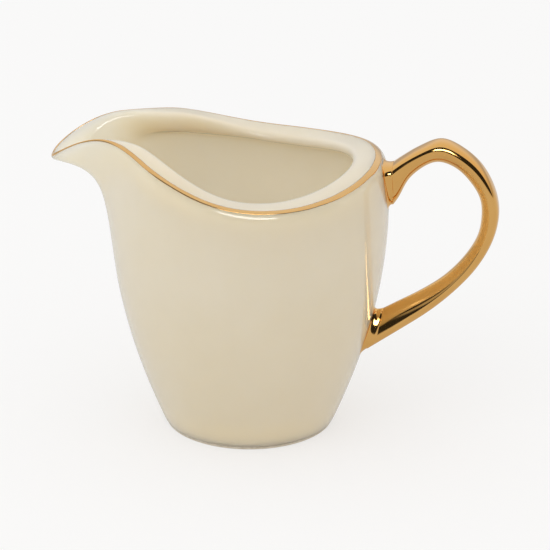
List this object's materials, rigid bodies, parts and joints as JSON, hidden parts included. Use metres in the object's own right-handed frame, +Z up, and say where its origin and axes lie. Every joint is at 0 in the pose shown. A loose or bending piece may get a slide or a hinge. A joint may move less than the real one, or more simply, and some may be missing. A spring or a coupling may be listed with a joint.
{
  "type": "cream jug",
  "caption": "Round porcelain cream jug with a wide turned-in lip, a long pouring spout, a gilded strap handle and a gold line round the rim.",
  "frame": {"origin": "centre of the bare foot ring, on the table", "axes": "+Z up along the axis of the round body; -X towards the spout, +X towards the handle; the jug is symmetrical about the plane y = 0"},
  "size_m": [0.142, 0.0878, 0.0979],
  "materials": {
    "glazed_porcelain": "smooth clear glaze over cream porcelain",
    "bare_porcelain": "unglazed fired clay, matt",
    "gilding": "burnished bright gold",
    "rim_gold": "burnished bright gold, a thin painted line"
  },
  "bodies": {
    "root": {"body": "glazed_porcelain", "foot_ring": "bare_porcelain", "handle": "glazed_porcelain", "handle_gilding": "gilding", "upper_luting_joint": "gilding", "lower_luting_joint": "gilding", "rim_gold_line": "rim_gold"}
  },
  "joints": []
}
